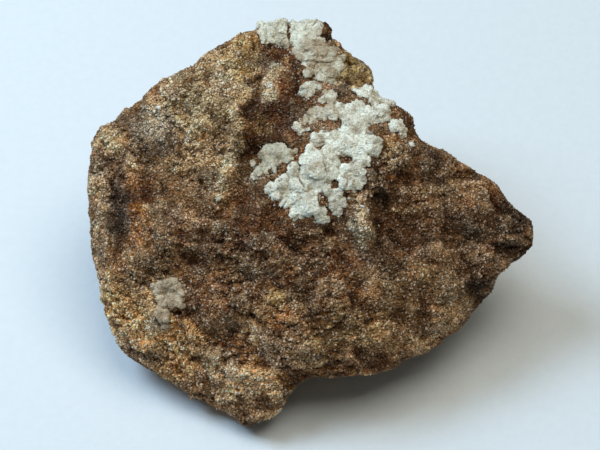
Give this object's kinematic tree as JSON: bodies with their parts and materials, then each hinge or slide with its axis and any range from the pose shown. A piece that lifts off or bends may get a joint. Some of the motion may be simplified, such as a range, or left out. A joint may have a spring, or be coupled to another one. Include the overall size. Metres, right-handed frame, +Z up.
{
  "type": "witzkeite specimen",
  "caption": "Rough, irregular hand specimen of brown sandy rock with a crumbly greenish white salt crust on its broad sloping face.",
  "frame": {"origin": "middle of the stone's bounding box, on the surface that it rests on", "axes": "+X to the right along the stone's longest way, towards its pointed arm, with the crusted broad face towards the viewer; +Y away from the viewer; +Z up from the flat spot that it rests on"},
  "size_m": [0.0504, 0.0418, 0.0281],
  "materials": {
    "rock": "rough, sandy, dull brown with rusty, ochre and grey patches",
    "salt": "crumbly, chalky, greenish white",
    "dusty_salt": "crumbly, chalky, dusty grey"
  },
  "bodies": {
    "root": {"matrix": "rock", "main_crust": "salt", "summit_crust": "salt", "side_crust": "salt", "crust_nub": "salt", "grey_patch": "dusty_salt"}
  },
  "joints": []
}
